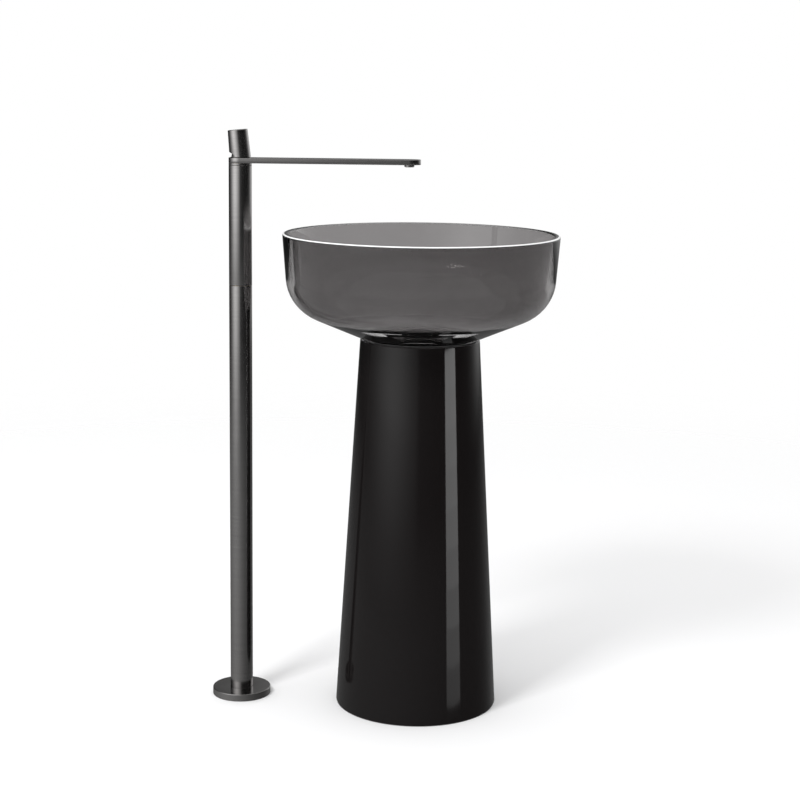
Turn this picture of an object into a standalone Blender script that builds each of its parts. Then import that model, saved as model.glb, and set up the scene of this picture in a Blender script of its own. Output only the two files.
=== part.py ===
"""Pedestal sink with its floor-standing mixer tap.

A round bowl of smoked cast resin stands on a tapered, hollow, gloss black pedestal. The pedestal
hides a push waste, a bottle trap and the drain pipe, and is held by a steel plate bolted to the
floor. Beside it stands the tap: a round column with a flat swinging spout over the bowl and a
leaning joystick handle on a ceramic-disc cartridge.

Metres, +Z up. The origin is on the floor, at the centre of the set's bounding box. The bowl is at
+X of the tap, and the set's back is at +Y.
"""

import math

import bmesh
import bpy
from mathutils import Matrix, Vector

# Driving dimensions
RIM_Z = 0.900              # floor to rim
BOWL_R = 0.258             # outside radius of the rim
RIM_WALL = 0.010
PEDESTAL_TOP_R = 0.112
PEDESTAL_FOOT_R = 0.153
PEDESTAL_TOP_Z = 0.703
PEDESTAL_WALL = 0.008
TAP_SPACING = 0.338        # bowl axis to tap axis
TAP_Y = 0.020              # the tap stands a little further back than the bowl
COLUMN_R = 0.0215
COLUMN_WALL = 0.0025
COLUMN_TOP_Z = 1.0215
COLUMN_SEAM_Z = 0.798
TAP_FLANGE_R = 0.0555
TAP_FLANGE_Z = 0.0135
SPOUT_REACH = 0.314        # tap axis to nozzle axis
HANDLE_LEAN = math.radians(5.3)

# The set's outermost points are the tap flange on the left and the rim on the right.
SINK_X = (TAP_SPACING + TAP_FLANGE_R - BOWL_R) / 2
TAP_X = SINK_X - TAP_SPACING
SINK = Vector((SINK_X, 0, 0))
TAP = Vector((TAP_X, TAP_Y, 0))

GAP = 0.0003               # between pieces that touch
BROAD, WIDE, ROUND, MEDIUM, SMALL = 52, 40, 28, 20, 16  # facets round a turned piece, by its size

# Heights in the sink's stack, from the pedestal's top upwards and then down into the trap
BOWL_BASE_Z = PEDESTAL_TOP_Z + 0.0020
BOWL_FLOOR_Z = BOWL_BASE_Z + 0.0237
DRAIN_HOLE_R = 0.023
DRAIN_RECESS_R = 0.033
DRAIN_RECESS_Z = BOWL_FLOOR_Z - 0.0022
WASTE_TUBE_R = 0.0205
WASTE_BORE_R = 0.0178
WASTE_END_Z = 0.655
WASTE_BAR_Z = BOWL_BASE_Z - 0.0080
PLUG_UNDER_Z = DRAIN_RECESS_Z + 0.0037
TRAP_OUTLET_Z = 0.570
TRAP_BODY_LOW_Z = TRAP_OUTLET_Z - 0.030
TRAP_CUP_LOW_Z = 0.470
TRAP_PIPE_R = 0.0160
DRAIN_PIPE_R = 0.015
DRAIN_PIPE_X = SINK_X + 0.078
FOOT_SEAL_Z = 0.0015

# Heights in the tap's head
SPOUT_UNDER_Z = COLUMN_TOP_Z + 0.0045
SPOUT_OVER_Z = SPOUT_UNDER_Z + 0.0095
PIVOT_Z = 1.037            # centre of the dome and of the handle's tilt
DOME_R = 0.0162
NECK_R = 0.0170            # the valve body's neck, that the spout turns on
SPIGOT_R = 0.0141          # the valve body's spigot, that the dome nut screws onto
SPIGOT_TOP_Z = PIVOT_Z + 0.0039
CARTRIDGE_SEAT_Z = PIVOT_Z - 0.0290
CARTRIDGE_R = 0.0122
CARTRIDGE_BORE_R = 0.0112
DISC_LOW_Z = CARTRIDGE_SEAT_Z + 0.0100
FINGER_DEPTH = 0.0080      # pivot to where the stem drives the moving disc
HOSE_Y = 0.0068            # hoses, either side of the column's axis
PORT_Y = 0.0045            # ports in the discs
PIVOT = TAP + Vector((0, 0, PIVOT_Z))
HANDLE_AXIS = Vector((-math.sin(HANDLE_LEAN), 0, math.cos(HANDLE_LEAN)))

RESIN = ("smoked_resin", (0.10, 0.095, 0.095), 0.05, 0.0)
BLACK = ("pedestal_black", (0.012, 0.011, 0.011), 0.08, 0.0)
GUNMETAL = ("gunmetal", (0.17, 0.165, 0.165), 0.28, 1.0)
STEEL = ("steel", (0.55, 0.55, 0.56), 0.35, 1.0)
BRASS = ("brass", (0.62, 0.50, 0.28), 0.35, 1.0)
RUBBER = ("rubber", (0.03, 0.03, 0.03), 0.75, 0.0)
NYLON = ("nylon", (0.70, 0.70, 0.68), 0.50, 0.0)
TRAP_PLASTIC = ("trap_plastic", (0.78, 0.78, 0.77), 0.45, 0.0)
CERAMIC = ("ceramic", (0.88, 0.86, 0.82), 0.20, 0.0)
BRAID = ("hose_braid", (0.45, 0.45, 0.46), 0.40, 1.0)


# Scene, materials and collections

def start_scene():
    """An empty scene with a collection for the parts and one for their cutters."""
    for old in list(bpy.data.objects):
        bpy.data.objects.remove(old, do_unlink=True)
    made = []
    for name in ("pedestal_sink", "cutters"):
        collection = bpy.data.collections.new(name)
        bpy.context.scene.collection.children.link(collection)
        made.append(collection)
    made[1].hide_render = True
    return made


PARTS, CUTTERS = start_scene()


def finish_material(finish):
    """The Principled material of that name, made the first time that it is asked for."""
    name, colour, roughness, metallic = finish
    found = bpy.data.materials.get(name)
    if found:
        return found
    made = bpy.data.materials.new(name)
    made.use_nodes = True
    shader = made.node_tree.nodes["Principled BSDF"]
    shader.inputs["Base Color"].default_value = (*colour, 1)
    shader.inputs["Roughness"].default_value = roughness
    shader.inputs["Metallic"].default_value = metallic
    return made


def move_to(obj, collection):
    for old in list(obj.users_collection):
        old.objects.unlink(obj)
    collection.objects.link(obj)
    return obj


def keep(obj, name, finish):
    """Names the object, gives it its material and files it with the parts."""
    obj.name = name
    obj.data.name = name
    obj.data.materials.clear()
    obj.data.materials.append(finish_material(finish))
    return move_to(obj, PARTS)


def as_cutter(obj):
    """Files the object with the cutters, out of the render."""
    obj.hide_render = True
    obj.display_type = "WIRE"
    return move_to(obj, CUTTERS)


def up(height):
    return Vector((0, 0, height))


def polar(centre, radius, degrees, height=0.0):
    """The point at that radius and angle round a vertical axis."""
    angle = math.radians(degrees)
    return Vector((centre.x + radius * math.cos(angle), centre.y + radius * math.sin(angle), height))


# Outlines

def rounded(corners, step=math.radians(22)):
    """The outline through (r, z) corners. A third number rounds a corner, or chamfers it if it is small."""
    points = []
    for i, corner in enumerate(corners):
        here = Vector(corner[:2])
        radius = corner[2] if len(corner) > 2 else 0
        if not radius:
            points.append(tuple(here))
            continue
        before = (Vector(corners[i - 1][:2]) - here).normalized()
        after = (Vector(corners[(i + 1) % len(corners)][:2]) - here).normalized()
        half = before.angle(after) / 2
        centre = here + (before + after).normalized() * radius / math.sin(half)
        first = here + before * radius / math.tan(half) - centre
        last = here + after * radius / math.tan(half) - centre
        sweep = first.angle_signed(last)
        count = math.ceil(abs(sweep) / step) if radius > 0.0025 else 1
        for k in range(count + 1):
            points.append(tuple(centre + Matrix.Rotation(-sweep * k / count, 2) @ first))
    return points


def stadium(half_width, length, segments):
    """A slot-shaped outline round the X axis, from 0 to length, as (x, y) points."""
    points = []
    for centre, start in ((length, -90), (0, 90)):
        for k in range(segments + 1):
            angle = math.radians(start + 180 * k / segments)
            points.append((centre + half_width * math.cos(angle), half_width * math.sin(angle)))
    return points


# Shapes

def turned(name, corners, base, finish, facets=SMALL, rotation=(0, 0, 0)):
    """A solid of revolution about Z. Its outline runs down its outer side; an end at r = 0 is on the axis."""
    points = [(r, 0, z) for r, z in rounded(corners)]
    edges = [(i, i + 1) for i in range(len(points) - 1)]
    if points[0][0] > 0:
        edges.append((len(points) - 1, 0))
    mesh = bpy.data.meshes.new(name)
    mesh.from_pydata(points, edges, [])
    obj = bpy.data.objects.new(name, mesh)
    screw = obj.modifiers.new("turn", "SCREW")
    screw.axis = "Z"
    screw.angle = math.tau
    screw.steps = screw.render_steps = facets
    screw.use_merge_vertices = True
    screw.merge_threshold = 0.00001
    screw.use_smooth_shade = True
    obj.location = base
    obj.rotation_euler = rotation
    return keep(obj, name, finish)


def ring(name, outer, inner, low, high, at, finish, facets=SMALL):
    """A plain ring or washer round the vertical line through the point at."""
    corners = [(outer, high), (outer, low), (inner, low), (inner, high)]
    return turned(name, corners, (at.x, at.y, 0), finish, facets)


def rod(start, end, radius, sides=SMALL):
    """A plain cylinder between two points."""
    along = end - start
    bpy.ops.mesh.primitive_cylinder_add(
        vertices=sides, radius=radius, depth=along.length, location=(start + end) / 2
    )
    obj = bpy.context.active_object
    obj.rotation_mode = "QUATERNION"
    obj.rotation_quaternion = along.to_track_quat("Z", "Y")
    return obj


def block(centre, size, rotation=(0, 0, 0)):
    bpy.ops.mesh.primitive_cube_add(size=1, location=centre, rotation=rotation)
    obj = bpy.context.active_object
    obj.data.transform(Matrix.Diagonal((*size, 1)))
    return obj


def mesh_of(curve):
    """The curve as a mesh object whose caps are welded on, so that it is one closed body."""
    source = bpy.data.objects.new("curve", curve)
    PARTS.objects.link(source)
    bpy.context.view_layer.update()
    evaluated = source.evaluated_get(bpy.context.evaluated_depsgraph_get())
    mesh = bpy.data.meshes.new_from_object(evaluated)
    work = bmesh.new()
    work.from_mesh(mesh)
    bmesh.ops.remove_doubles(work, verts=work.verts, dist=0.000001)
    work.to_mesh(mesh)
    work.free()
    bpy.data.objects.remove(source, do_unlink=True)
    obj = bpy.data.objects.new("mesh", mesh)
    PARTS.objects.link(obj)
    return obj


def tube_along(route, radius, smoothness=2):
    """A solid round bar along the points of a route."""
    curve = bpy.data.curves.new("route", "CURVE")
    curve.dimensions = "3D"
    curve.bevel_depth = radius
    curve.bevel_resolution = smoothness
    curve.use_fill_caps = True
    spline = curve.splines.new("POLY")
    spline.points.add(len(route) - 1)
    for point, place in zip(spline.points, route):
        point.co = (*place, 1)
    return mesh_of(curve)


def slab(outline, thickness, edge):
    """A flat plate with the given outline and small bevelled edges, centred on z = 0."""
    curve = bpy.data.curves.new("outline", "CURVE")
    curve.dimensions = "2D"
    curve.fill_mode = "BOTH"
    curve.extrude = thickness / 2 - edge
    curve.bevel_depth = edge
    curve.bevel_resolution = 0
    curve.offset = -edge
    spline = curve.splines.new("POLY")
    spline.points.add(len(outline) - 1)
    for point, (x, y) in zip(spline.points, outline):
        point.co = (x, y, 0, 1)
    spline.use_cyclic_u = True
    return mesh_of(curve)


def boolean(obj, tool, operation):
    modifier = obj.modifiers.new(operation.lower(), "BOOLEAN")
    modifier.operation = operation
    modifier.solver = "EXACT"
    modifier.object = as_cutter(tool)
    return obj


def cut(obj, tool):
    return boolean(obj, tool, "DIFFERENCE")


def join(obj, tool):
    return boolean(obj, tool, "UNION")


def floor_bolt(name, foot, plate_top, head_r, head_height, shank_r):
    """A hexagon bolt through a plate on the floor. Its anchor in the floor is left out."""
    head = rod(foot + up(plate_top + GAP), foot + up(plate_top + head_height), head_r, 6)
    shank = rod(foot + up(GAP), foot + up(plate_top + head_height / 2), shank_r, 10)
    keep(join(head, shank), name, STEEL)


def socket_screw(name, start, end, radius):
    """A headless set screw from its open end to its point, with a hexagon socket in the open end."""
    inward = (end - start).normalized()
    screw = rod(start, end, radius, 12)
    key = rod(start - inward * 0.001, start + (end - start) * 0.5, radius * 0.55, 6)
    keep(cut(screw, key), name, STEEL)


# Sink: bowl, pedestal and floor plate

def bowl():
    """Upright wall, wide corner and shallow cone underneath; inside, a floor that falls to the drain."""
    inner_rim = BOWL_R - RIM_WALL
    turned("basin_bowl", [
        (BOWL_R, RIM_Z, 0.0035),
        (BOWL_R - 0.0105, RIM_Z - 0.1360, 0.084),
        (PEDESTAL_TOP_R - 0.0030, BOWL_BASE_Z, 0.002),
        (DRAIN_HOLE_R, BOWL_BASE_Z),
        (DRAIN_HOLE_R, DRAIN_RECESS_Z),
        (DRAIN_RECESS_R, DRAIN_RECESS_Z),
        (DRAIN_RECESS_R, BOWL_FLOOR_Z),
        (inner_rim - 0.0188, RIM_Z - 0.1542, 0.072),
        (inner_rim, RIM_Z, 0.0035),
    ], SINK, RESIN, BROAD)
    ring("bowl_seat_gasket", 0.104, 0.050, PEDESTAL_TOP_Z + GAP, BOWL_BASE_Z - GAP, SINK, RUBBER, ROUND)


def pedestal():
    """A hollow cone, open at the foot, with a ledge at the top that carries the bowl."""
    foot_z = FOOT_SEAL_Z + GAP
    ledge_z = PEDESTAL_TOP_Z - 0.010
    shell = turned("pedestal_shell", [
        (PEDESTAL_TOP_R, PEDESTAL_TOP_Z, 0.0025),
        (PEDESTAL_FOOT_R, foot_z, 0.0015),
        (PEDESTAL_FOOT_R - PEDESTAL_WALL, foot_z),
        (PEDESTAL_TOP_R - PEDESTAL_WALL, ledge_z),
        (0.040, ledge_z),
        (0.040, PEDESTAL_TOP_Z),
    ], SINK, BLACK, WIDE)
    ring("pedestal_foot_seal", PEDESTAL_FOOT_R - 0.0012, PEDESTAL_FOOT_R - 0.0070, 0, FOOT_SEAL_Z,
         SINK, RUBBER, ROUND)
    # One screw at the back goes through the shell into the floor plate's rear tab.
    screw_z = 0.028
    cut(shell, rod(polar(SINK, 0.130, 90, screw_z), polar(SINK, 0.170, 90, screw_z), 0.0033, 12))
    cut(shell, rod(polar(SINK, 0.1492, 90, screw_z), polar(SINK, 0.170, 90, screw_z), 0.0060, 16))
    screw = rod(polar(SINK, 0.1340, 90, screw_z), polar(SINK, 0.1510, 90, screw_z), 0.0024, 12)
    join(screw, rod(polar(SINK, 0.1496, 90, screw_z), polar(SINK, 0.1522, 90, screw_z), 0.0052, 16))
    cut(screw, rod(polar(SINK, 0.1510, 90, screw_z), polar(SINK, 0.1530, 90, screw_z), 0.0020, 6))
    keep(screw, "pedestal_fixing_screw", STEEL)


def floor_plate():
    """A flat steel ring on the floor inside the pedestal, with three upright tabs that centre the shell."""
    outer_r, inner_r, thick = 0.1390, 0.1075, 0.004
    plate = ring("floor_fixing_plate", outer_r, inner_r, 0, thick, SINK, STEEL, ROUND)
    for degrees in (90, 210, 330):
        centre = polar(SINK, 0.1370, degrees, 0.021)
        join(plate, block(centre, (0.003, 0.034, 0.038), (0, 0, math.radians(degrees))))
    cut(plate, rod(polar(SINK, 0.130, 90, 0.028), polar(SINK, 0.145, 90, 0.028), 0.0028, 12))
    for number, degrees in enumerate((30, 150, 270), start=1):
        foot = polar(SINK, (outer_r + inner_r) / 2, degrees)
        cut(plate, rod(foot - up(0.005), foot + up(0.010), 0.0056, 12))
        floor_bolt(f"floor_anchor_bolt_{number}", foot, thick, 0.0088, 0.0065, 0.005)


# Sink: push waste

def waste():
    """The flanged waste, clamped through the bowl by a back nut between two gaskets."""
    flange_under = DRAIN_RECESS_Z + 0.0012
    flange = turned("waste_flange", [
        (0.0320, flange_under + 0.0020, 0.0008),
        (0.0320, flange_under),
        (WASTE_TUBE_R, flange_under),
        (WASTE_TUBE_R, WASTE_END_Z),
        (WASTE_BORE_R, WASTE_END_Z),
        (WASTE_BORE_R, flange_under - 0.0020),
        (0.0215, flange_under + 0.0020),
    ], SINK, GUNMETAL, MEDIUM)
    join(flange, block(SINK + up(WASTE_BAR_Z), (2 * WASTE_BORE_R + 0.002, 0.007, 0.004)))
    cut(flange, rod(SINK + up(WASTE_BAR_Z - 0.01), SINK + up(WASTE_BAR_Z + 0.01), 0.0023, 12))
    ring("waste_upper_gasket", 0.0315, 0.0212, DRAIN_RECESS_Z + GAP, flange_under - GAP, SINK, RUBBER, MEDIUM)
    ring("waste_lower_gasket", 0.0320, 0.0210, BOWL_BASE_Z - 0.0035, BOWL_BASE_Z - GAP, SINK, RUBBER, MEDIUM)
    ring("waste_slip_washer", 0.0320, 0.0210, BOWL_BASE_Z - 0.0050, BOWL_BASE_Z - 0.0038, SINK, NYLON, MEDIUM)
    nut = ring("waste_back_nut", 0.0310, 0.0209, BOWL_BASE_Z - 0.0140, BOWL_BASE_Z - 0.0053, SINK, BRASS, MEDIUM)
    for k in range(4):
        notch = polar(SINK, 0.0320, 45 + 90 * k, BOWL_BASE_Z - 0.010)
        cut(nut, block(notch, (0.008, 0.010, 0.020), (0, 0, math.radians(45 + 90 * k))))


def push_plug():
    """The plug cap on its sleeve, with its seal, and the click post and spring that they slide on."""
    flange_z = PLUG_UNDER_Z - 0.0028
    turned("waste_plug_cap", [
        (0, PLUG_UNDER_Z + 0.0040),
        (0.0290, PLUG_UNDER_Z + 0.0034, 0.0012),
        (0.0290, PLUG_UNDER_Z, 0.0006),
        (0.0090, PLUG_UNDER_Z),
        (0.0090, PLUG_UNDER_Z + 0.0012),
        (0, PLUG_UNDER_Z + 0.0012),
    ], SINK, GUNMETAL, ROUND)
    ring("waste_plug_seal", 0.0192, 0.0090, flange_z + GAP, PLUG_UNDER_Z - GAP, SINK, RUBBER, MEDIUM)
    turned("waste_plug_sleeve", [
        (0.0145, flange_z),
        (0.0145, flange_z - 0.0020),
        (0.0086, flange_z - 0.0020),
        (0.0086, BOWL_BASE_Z - 0.0015),
        (0.0068, BOWL_BASE_Z - 0.0015),
        (0.0068, PLUG_UNDER_Z + 0.0009),
        (0.0086, PLUG_UNDER_Z + 0.0009),
        (0.0086, flange_z),
    ], SINK, NYLON)
    post_low = WASTE_BAR_Z + 0.0020 + GAP
    post_top = BOWL_BASE_Z + 0.0090
    shoulder = post_top - 0.0030
    turned("waste_click_post", [
        (0, post_top),
        (0.0040, post_top),
        (0.0040, shoulder),
        (0.0064, shoulder),
        (0.0064, post_low),
        (0.0019, post_low),
        (0.0019, post_low - 0.010),
        (0, post_low - 0.010),
    ], SINK, NYLON, 16)
    turns, steps, wire_r = 4, 8, 0.0005
    low, high = shoulder + wire_r + GAP, PLUG_UNDER_Z + 0.0012 - wire_r - GAP
    helix = []
    for k in range(turns * steps + 1):
        height = low + (high - low) * k / (turns * steps)
        helix.append(polar(SINK, 0.0054, 360 * k / steps, height))
    keep(tube_along(helix, wire_r, 1), "waste_click_spring", STEEL)


# Sink: bottle trap and drain

def trap():
    """A bottle trap whose dip pipe hangs from the waste."""
    tube_clear, pipe_clear = WASTE_TUBE_R + 0.0004, TRAP_PIPE_R + 0.0005
    turned("trap_inlet_nut", [
        (0.0255, WASTE_END_Z + 0.009, 0.001),
        (0.0255, WASTE_END_Z - 0.011, 0.001),
        (pipe_clear, WASTE_END_Z - 0.011),
        (pipe_clear, WASTE_END_Z - 0.0015),
        (tube_clear, WASTE_END_Z - 0.0015),
        (tube_clear, WASTE_END_Z + 0.009),
    ], SINK, TRAP_PLASTIC, MEDIUM)
    turned("trap_dip_pipe", [
        (0.0200, WASTE_END_Z - GAP),
        (0.0200, WASTE_END_Z - 0.0012),
        (TRAP_PIPE_R, WASTE_END_Z - 0.0012),
        (TRAP_PIPE_R, 0.500),
        (TRAP_PIPE_R - 0.0015, 0.500),
        (TRAP_PIPE_R - 0.0015, WASTE_END_Z - GAP),
    ], SINK, TRAP_PLASTIC, MEDIUM)
    body_top, bore_r = TRAP_OUTLET_Z + 0.022, 0.028
    body = turned("trap_body", [
        (0.0310, body_top, 0.002),
        (0.0310, TRAP_BODY_LOW_Z),
        (bore_r, TRAP_BODY_LOW_Z),
        (bore_r, body_top - 0.003),
        (pipe_clear, body_top - 0.003),
        (pipe_clear, body_top),
    ], SINK, TRAP_PLASTIC, MEDIUM)
    outlet = SINK + up(TRAP_OUTLET_Z)
    join(body, rod(outlet + Vector((0.0285, 0, 0)), outlet + Vector((0.047, 0, 0)), 0.0175, SMALL))
    cut(body, rod(outlet + Vector((0.0180, 0, 0)), outlet + Vector((0.060, 0, 0)), 0.0150, SMALL))
    ring("trap_cup_seal", 0.0308, bore_r, TRAP_BODY_LOW_Z - 0.0016, TRAP_BODY_LOW_Z - GAP, SINK, RUBBER, MEDIUM)
    turned("trap_cup", [
        (0, TRAP_CUP_LOW_Z + 0.003),
        (0.0250, TRAP_CUP_LOW_Z + 0.003),
        (0.0268, TRAP_BODY_LOW_Z - 0.0019),
        (0.0314, TRAP_BODY_LOW_Z - 0.0019),
        (0.0314, TRAP_BODY_LOW_Z + 0.011),
        (0.0345, TRAP_BODY_LOW_Z + 0.011),
        (0.0345, TRAP_BODY_LOW_Z - 0.012),
        (0.0295, TRAP_BODY_LOW_Z - 0.014),
        (0.0280, TRAP_CUP_LOW_Z, 0.006),
        (0, TRAP_CUP_LOW_Z),
    ], SINK, TRAP_PLASTIC, MEDIUM)


def drain():
    """From the trap's outlet, through a bend, down to the drain in the floor."""
    outlet = SINK + up(TRAP_OUTLET_Z)
    pipe_clear = DRAIN_PIPE_R + 0.0004
    turned("trap_outlet_nut", [
        (0.0225, 0.0160),
        (0.0225, 0, 0.001),
        (pipe_clear, 0),
        (pipe_clear, 0.0068),
        (0.0179, 0.0068),
        (0.0179, 0.0160),
    ], outlet + Vector((0.0540, 0, 0)), TRAP_PLASTIC, MEDIUM, (0, -math.pi / 2, 0))
    bend_r, wall = 0.023, 0.0018
    bend = Vector((DRAIN_PIPE_X - bend_r, 0, TRAP_OUTLET_Z - bend_r))
    route = [outlet + Vector((0.0475, 0, 0))]
    for k in range(6):
        angle = math.radians(90 - 18 * k)
        route.append(bend + Vector((math.cos(angle), 0, math.sin(angle))) * bend_r)
    route.append(Vector((DRAIN_PIPE_X, 0, 0.0020)))
    inside = [route[0] - Vector((0.01, 0, 0)), *route[1:-1], route[-1] - up(0.01)]
    pipe = tube_along(route, DRAIN_PIPE_R, 2)
    keep(cut(pipe, tube_along(inside, DRAIN_PIPE_R - wall, 2)), "trap_outlet_bend", TRAP_PLASTIC)
    turned("floor_drain_collar", [
        (0.0190, 0.014),
        (0.0260, 0.005),
        (0.0260, 0),
        (pipe_clear, 0),
        (pipe_clear, 0.014),
    ], (DRAIN_PIPE_X, 0, 0), RUBBER, MEDIUM)


# Tap: foot, column and hoses

def tap_foot():
    """The cover flange, and under it the plate and boss that carry the column, with three floor screws."""
    recess_r, recess_z = 0.0490, 0.0105
    hole_r = COLUMN_R + 0.0004
    turned("tap_floor_flange", [
        (TAP_FLANGE_R, TAP_FLANGE_Z, 0.0012),
        (TAP_FLANGE_R, 0),
        (recess_r, 0),
        (recess_r, recess_z),
        (hole_r, recess_z),
        (hole_r, TAP_FLANGE_Z),
    ], TAP, GUNMETAL, WIDE)
    plate_top, boss_bore = 0.006, 0.0155
    boss_r = COLUMN_R - COLUMN_WALL - GAP
    plate = turned("tap_base_plate", [
        (boss_r, 0.060),
        (boss_r, plate_top),
        (0.0470, plate_top),
        (0.0470, 0),
        (boss_bore, 0),
        (boss_bore, 0.060),
    ], TAP, STEEL, MEDIUM)
    for number, degrees in enumerate((30, 150, 270), start=1):
        foot = polar(TAP, 0.034, degrees)
        cut(plate, rod(foot - up(0.005), foot + up(0.010), 0.0034, 12))
        floor_bolt(f"tap_anchor_screw_{number}", foot, plate_top, 0.0062, 0.0040, 0.003)


def column():
    """Two tubes that meet in a fine seam over an inner sleeve, and the set screw that locks them to the boss."""
    bore_r = COLUMN_R - COLUMN_WALL
    screw_z = 0.040
    lower = turned("tap_column_lower", [
        (COLUMN_R, COLUMN_SEAM_Z - GAP, 0.0004),
        (COLUMN_R, 0.0063),
        (bore_r, 0.0063),
        (bore_r, COLUMN_SEAM_Z - GAP),
    ], TAP, GUNMETAL, ROUND)
    cut(lower, rod(polar(TAP, bore_r - 0.002, 90, screw_z), polar(TAP, 0.026, 90, screw_z), 0.0030, 12))
    socket_screw("tap_column_set_screw", polar(TAP, COLUMN_R - 0.0004, 90, screw_z),
                 polar(TAP, bore_r, 90, screw_z), 0.0025)
    turned("tap_column_upper", [
        (COLUMN_R, COLUMN_TOP_Z, 0.0004),
        (COLUMN_R, COLUMN_SEAM_Z + GAP, 0.0004),
        (bore_r, COLUMN_SEAM_Z + GAP),
        (bore_r, COLUMN_TOP_Z),
    ], TAP, GUNMETAL, ROUND)
    ring("tap_column_sleeve", bore_r - GAP, bore_r - 0.0025, COLUMN_SEAM_Z - 0.032, COLUMN_SEAM_Z + 0.032,
         TAP, BRASS, ROUND)


def hoses():
    """The hot and cold supply hoses inside the column, each with its coupling at floor level."""
    low, high, steps = 0.030 + GAP, 0.9715, 11
    for name, side in (("hot", 1), ("cold", -1)):
        route = []
        for k in range(steps + 1):
            share = k / steps
            sway = Vector((0.0014 * math.sin(math.tau * 1.5 * share), side * HOSE_Y, 0))
            route.append(TAP + sway + up(low + (high - low) * share))
        keep(tube_along(route, 0.0050, 1), f"tap_hose_{name}", BRAID)
        foot = TAP + Vector((0, side * HOSE_Y, 0))
        nut = rod(foot + up(GAP), foot + up(0.030), 0.0064, 6)
        keep(cut(nut, rod(foot - up(0.01), foot + up(0.024), 0.0036, 12)), f"tap_hose_coupling_{name}", BRASS)


# Tap: head

def valve_body():
    """The brass body in the column's head: hose ports below, a neck for the spout, a bore for the cartridge."""
    body_r, low = COLUMN_R - COLUMN_WALL - GAP, 0.960
    groove_r, groove = 0.0153, 0.0018
    bore_r = CARTRIDGE_R + 0.0006
    corners = [
        (0, CARTRIDGE_SEAT_Z),
        (bore_r, CARTRIDGE_SEAT_Z),
        (bore_r, SPIGOT_TOP_Z),
        (SPIGOT_R, SPIGOT_TOP_Z),
        (SPIGOT_R, SPOUT_OVER_Z),
        (NECK_R, SPOUT_OVER_Z),
    ]
    ring_heights = {"upper": SPOUT_OVER_Z - 0.0018, "lower": SPOUT_UNDER_Z + 0.0018}
    for height in ring_heights.values():
        high, under = height + groove / 2, height - groove / 2
        corners += [(NECK_R, high), (groove_r, high), (groove_r, under), (NECK_R, under)]
    corners += [
        (NECK_R, COLUMN_TOP_Z - GAP),
        (body_r, COLUMN_TOP_Z - GAP),
        (body_r, low),
        (0, low),
    ]
    body = turned("tap_valve_body", corners, TAP, BRASS, 22)
    for side in (-1, 1):
        port = TAP + Vector((0, side * HOSE_Y, 0))
        cut(body, rod(port + up(0.950), port + up(0.973), 0.0056, 14))
        cut(body, rod(port + up(0.970), port + up(CARTRIDGE_SEAT_Z + 0.001), 0.0022, 10))
    # Mixed water comes back down at -X, crosses under the cartridge, and rises round it to the neck.
    cut(body, block(TAP + Vector((-0.0080, 0, CARTRIDGE_SEAT_Z)), (0.0090, 0.0040, 0.0040)))
    middle = (SPOUT_UNDER_Z + SPOUT_OVER_Z) / 2
    for degrees in (90, 270):
        cut(body, rod(polar(TAP, 0.0115, degrees, middle), polar(TAP, 0.0200, degrees, middle), 0.0014, 8))
    for name, height in ring_heights.items():
        bpy.ops.mesh.primitive_torus_add(
            major_radius=0.0163, minor_radius=0.0006, major_segments=20, minor_segments=5,
            location=TAP + up(height),
        )
        keep(bpy.context.active_object, f"tap_spout_oring_{name}", RUBBER)


def spout():
    """A flat bar as wide as the column, round at both ends, hollow from the neck to the nozzle."""
    thick = SPOUT_OVER_Z - SPOUT_UNDER_Z
    middle = (SPOUT_UNDER_Z + SPOUT_OVER_Z) / 2
    bar = keep(slab(stadium(COLUMN_R, SPOUT_REACH, 14), thick, 0.0006), "tap_spout_bar", GUNMETAL)
    bar.location = TAP + up(middle)
    nozzle = TAP + Vector((SPOUT_REACH, 0, 0))
    chamber_r, chamber_top = 0.0088, SPOUT_OVER_Z - 0.0015
    cut(bar, rod(TAP + up(1.00), TAP + up(1.10), NECK_R + 0.0004, 24))
    cut(bar, block(TAP + Vector((SPOUT_REACH / 2 + 0.006, 0, middle)), (SPOUT_REACH - 0.010, 0.018, 0.0045)))
    cut(bar, rod(nozzle + up(1.00), nozzle + up(chamber_top), chamber_r, 24))
    turned("tap_spout_base_ring", [
        (COLUMN_R, SPOUT_UNDER_Z - GAP),
        (COLUMN_R, COLUMN_TOP_Z + GAP),
        (NECK_R + 0.0004, COLUMN_TOP_Z + GAP),
        (NECK_R + 0.0004, SPOUT_UNDER_Z - GAP),
    ], TAP, GUNMETAL, ROUND)
    low = SPOUT_UNDER_Z - 0.0046
    turned("tap_nozzle_ring", [
        (chamber_r - 0.0004, SPOUT_UNDER_Z + 0.0045),
        (chamber_r - 0.0004, SPOUT_UNDER_Z - 0.0012),
        (0.0095, SPOUT_UNDER_Z - 0.0012),
        (0.0095, low + 0.0016),
        (0.0080, low),
        (0.0066, low),
        (0.0066, low + 0.0010),
        (0.0073, low + 0.0010),
        (0.0073, SPOUT_UNDER_Z + 0.0045),
    ], nozzle, GUNMETAL, MEDIUM)
    insert = ring("tap_nozzle_straightener", 0.0070, 0.0012, low + 0.0013, SPOUT_UNDER_Z + 0.0040, nozzle, NYLON)
    for k in range(6):
        hole = polar(nozzle, 0.0043, 60 * k)
        cut(insert, rod(hole + up(low), hole + up(SPOUT_UNDER_Z + 0.01), 0.0014, 8))
    ring("tap_nozzle_washer", 0.0094, chamber_r, SPOUT_UNDER_Z - 0.0009, SPOUT_UNDER_Z - GAP, nozzle, RUBBER)


# Tap: cartridge, dome and handle

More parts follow.
